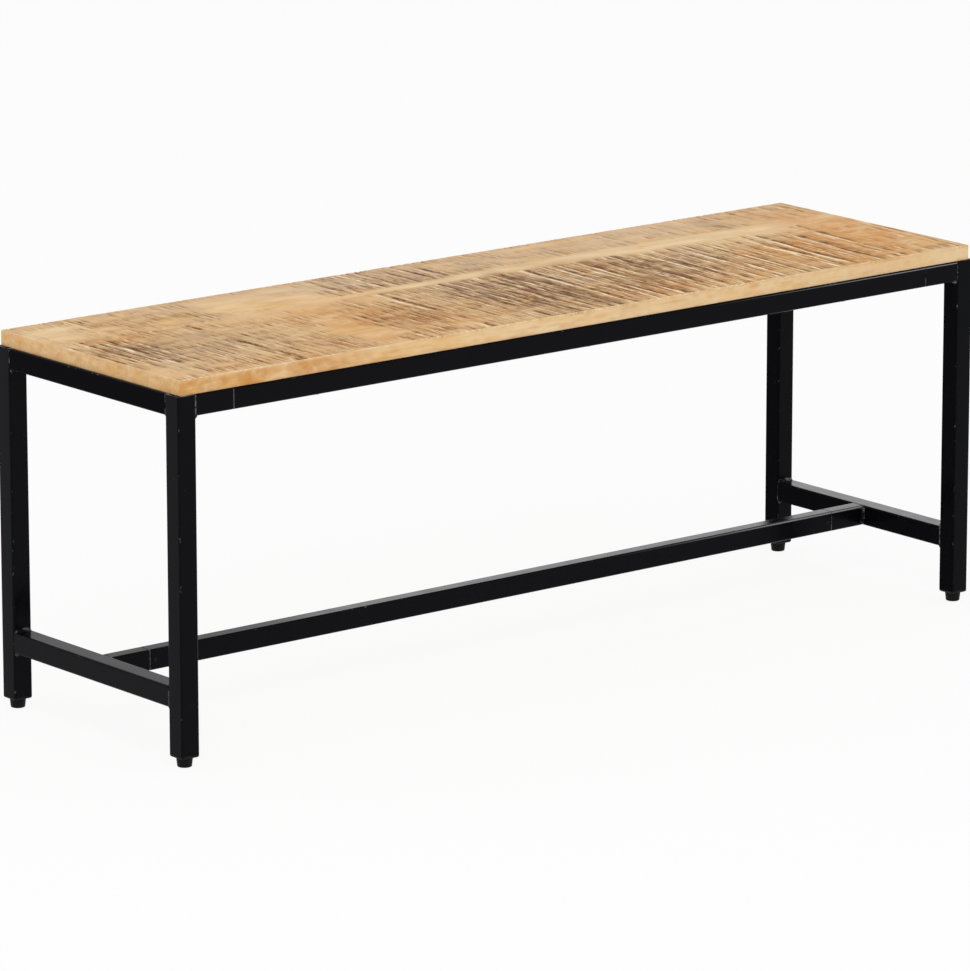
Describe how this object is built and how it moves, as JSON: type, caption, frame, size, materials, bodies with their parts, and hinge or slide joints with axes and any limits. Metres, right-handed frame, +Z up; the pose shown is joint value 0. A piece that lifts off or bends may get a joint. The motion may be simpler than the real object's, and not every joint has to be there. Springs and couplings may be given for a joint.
{
  "type": "entryway bench",
  "caption": "Backless bench with a rough-sawn plank seat on a black square-tube frame with an H-shaped lower stretcher and screw-in levelling feet.",
  "frame": {"origin": "on the floor, under the middle of the seat", "axes": "+X along the bench to the right, +Y from the front to the back, +Z up"},
  "size_m": [1.205, 0.35, 0.448],
  "materials": {
    "mango_wood": "rough-sawn mango, clear matte lacquer, dark saw marks across the boards",
    "black_steel": "black powder coat, semi-gloss with a fine texture",
    "black_plastic": "moulded black polyethylene",
    "blackened_steel": "black oxide on steel",
    "zinc_steel": "bright zinc plate"
  },
  "bodies": {
    "bench": {"seat_board_front": "mango_wood", "seat_board_middle": "mango_wood", "seat_board_back": "mango_wood", "front_rail": "black_steel", "rear_rail": "black_steel", "lower_stretcher": "black_steel", "cross_rail_left": "black_steel", "end_stretcher_left": "black_steel", "leg_front_left": "black_steel", "leg_rear_left": "black_steel", "stub_front_left": "black_steel", "connector_front_left": "black_steel", "stub_rear_left": "black_steel", "connector_rear_left": "black_steel", "stub_lower_left": "black_steel", "connector_lower_left": "black_steel", "cross_rail_right": "black_steel", "end_stretcher_right": "black_steel", "leg_front_right": "black_steel", "leg_rear_right": "black_steel", "stub_front_right": "black_steel", "connector_front_right": "black_steel", "stub_rear_right": "black_steel", "connector_rear_right": "black_steel", "stub_lower_right": "black_steel", "connector_lower_right": "black_steel", "leg_plug_front_left": "black_plastic", "leg_plug_rear_left": "black_plastic", "leg_plug_front_right": "black_plastic", "leg_plug_rear_right": "black_plastic", "seat_screw_front_left": "zinc_steel", "seat_screw_front_middle": "zinc_steel", "seat_screw_front_right": "zinc_steel", "seat_screw_rear_left": "zinc_steel", "seat_screw_rear_middle": "zinc_steel", "seat_screw_rear_right": "zinc_steel", "seat_screw_left_end": "zinc_steel", "seat_screw_right_end": "zinc_steel", "joint_screw_front_left": "blackened_steel", "joint_screw_rear_left": "blackened_steel", "joint_screw_lower_left": "blackened_steel", "joint_screw_front_right": "blackened_steel", "joint_screw_rear_right": "blackened_steel", "joint_screw_lower_right": "blackened_steel"},
    "stud_front_left": {"foot_stud_front_left": "zinc_steel"},
    "base_front_left": {"foot_base_front_left": "black_plastic"},
    "stud_rear_left": {"foot_stud_rear_left": "zinc_steel"},
    "base_rear_left": {"foot_base_rear_left": "black_plastic"},
    "stud_front_right": {"foot_stud_front_right": "zinc_steel"},
    "base_front_right": {"foot_base_front_right": "black_plastic"},
    "stud_rear_right": {"foot_stud_rear_right": "zinc_steel"},
    "base_rear_right": {"foot_base_rear_right": "black_plastic"}
  },
  "joints": [
    {"name": "foot_travel_front_left", "type": "slide", "parent": "bench", "child": "stud_front_left", "axis": [0, 0, -1], "range_m": [0, 0.01]},
    {"name": "foot_turn_front_left", "type": "hinge", "parent": "stud_front_left", "child": "base_front_left", "pos_m": [-0.59, -0.1625, 0.006], "axis": [0, 0, -1], "range_deg": [0, 2880]},
    {"name": "foot_travel_rear_left", "type": "slide", "parent": "bench", "child": "stud_rear_left", "axis": [0, 0, -1], "range_m": [0, 0.01]},
    {"name": "foot_turn_rear_left", "type": "hinge", "parent": "stud_rear_left", "child": "base_rear_left", "pos_m": [-0.59, 0.1625, 0.006], "axis": [0, 0, -1], "range_deg": [0, 2880]},
    {"name": "foot_travel_front_right", "type": "slide", "parent": "bench", "child": "stud_front_right", "axis": [0, 0, -1], "range_m": [0, 0.01]},
    {"name": "foot_turn_front_right", "type": "hinge", "parent": "stud_front_right", "child": "base_front_right", "pos_m": [0.59, -0.1625, 0.006], "axis": [0, 0, -1], "range_deg": [0, 2880]},
    {"name": "foot_travel_rear_right", "type": "slide", "parent": "bench", "child": "stud_rear_right", "axis": [0, 0, -1], "range_m": [0, 0.01]},
    {"name": "foot_turn_rear_right", "type": "hinge", "parent": "stud_rear_right", "child": "base_rear_right", "pos_m": [0.59, 0.1625, 0.006], "axis": [0, 0, -1], "range_deg": [0, 2880]}
  ],
  "couplings": [
    {"joint": "foot_turn_front_left", "follows": "foot_travel_front_left", "rad_per_m": 5026.5},
    {"joint": "foot_turn_rear_left", "follows": "foot_travel_rear_left", "rad_per_m": 5026.5},
    {"joint": "foot_turn_front_right", "follows": "foot_travel_front_right", "rad_per_m": 5026.5},
    {"joint": "foot_turn_rear_right", "follows": "foot_travel_rear_right", "rad_per_m": 5026.5}
  ]
}
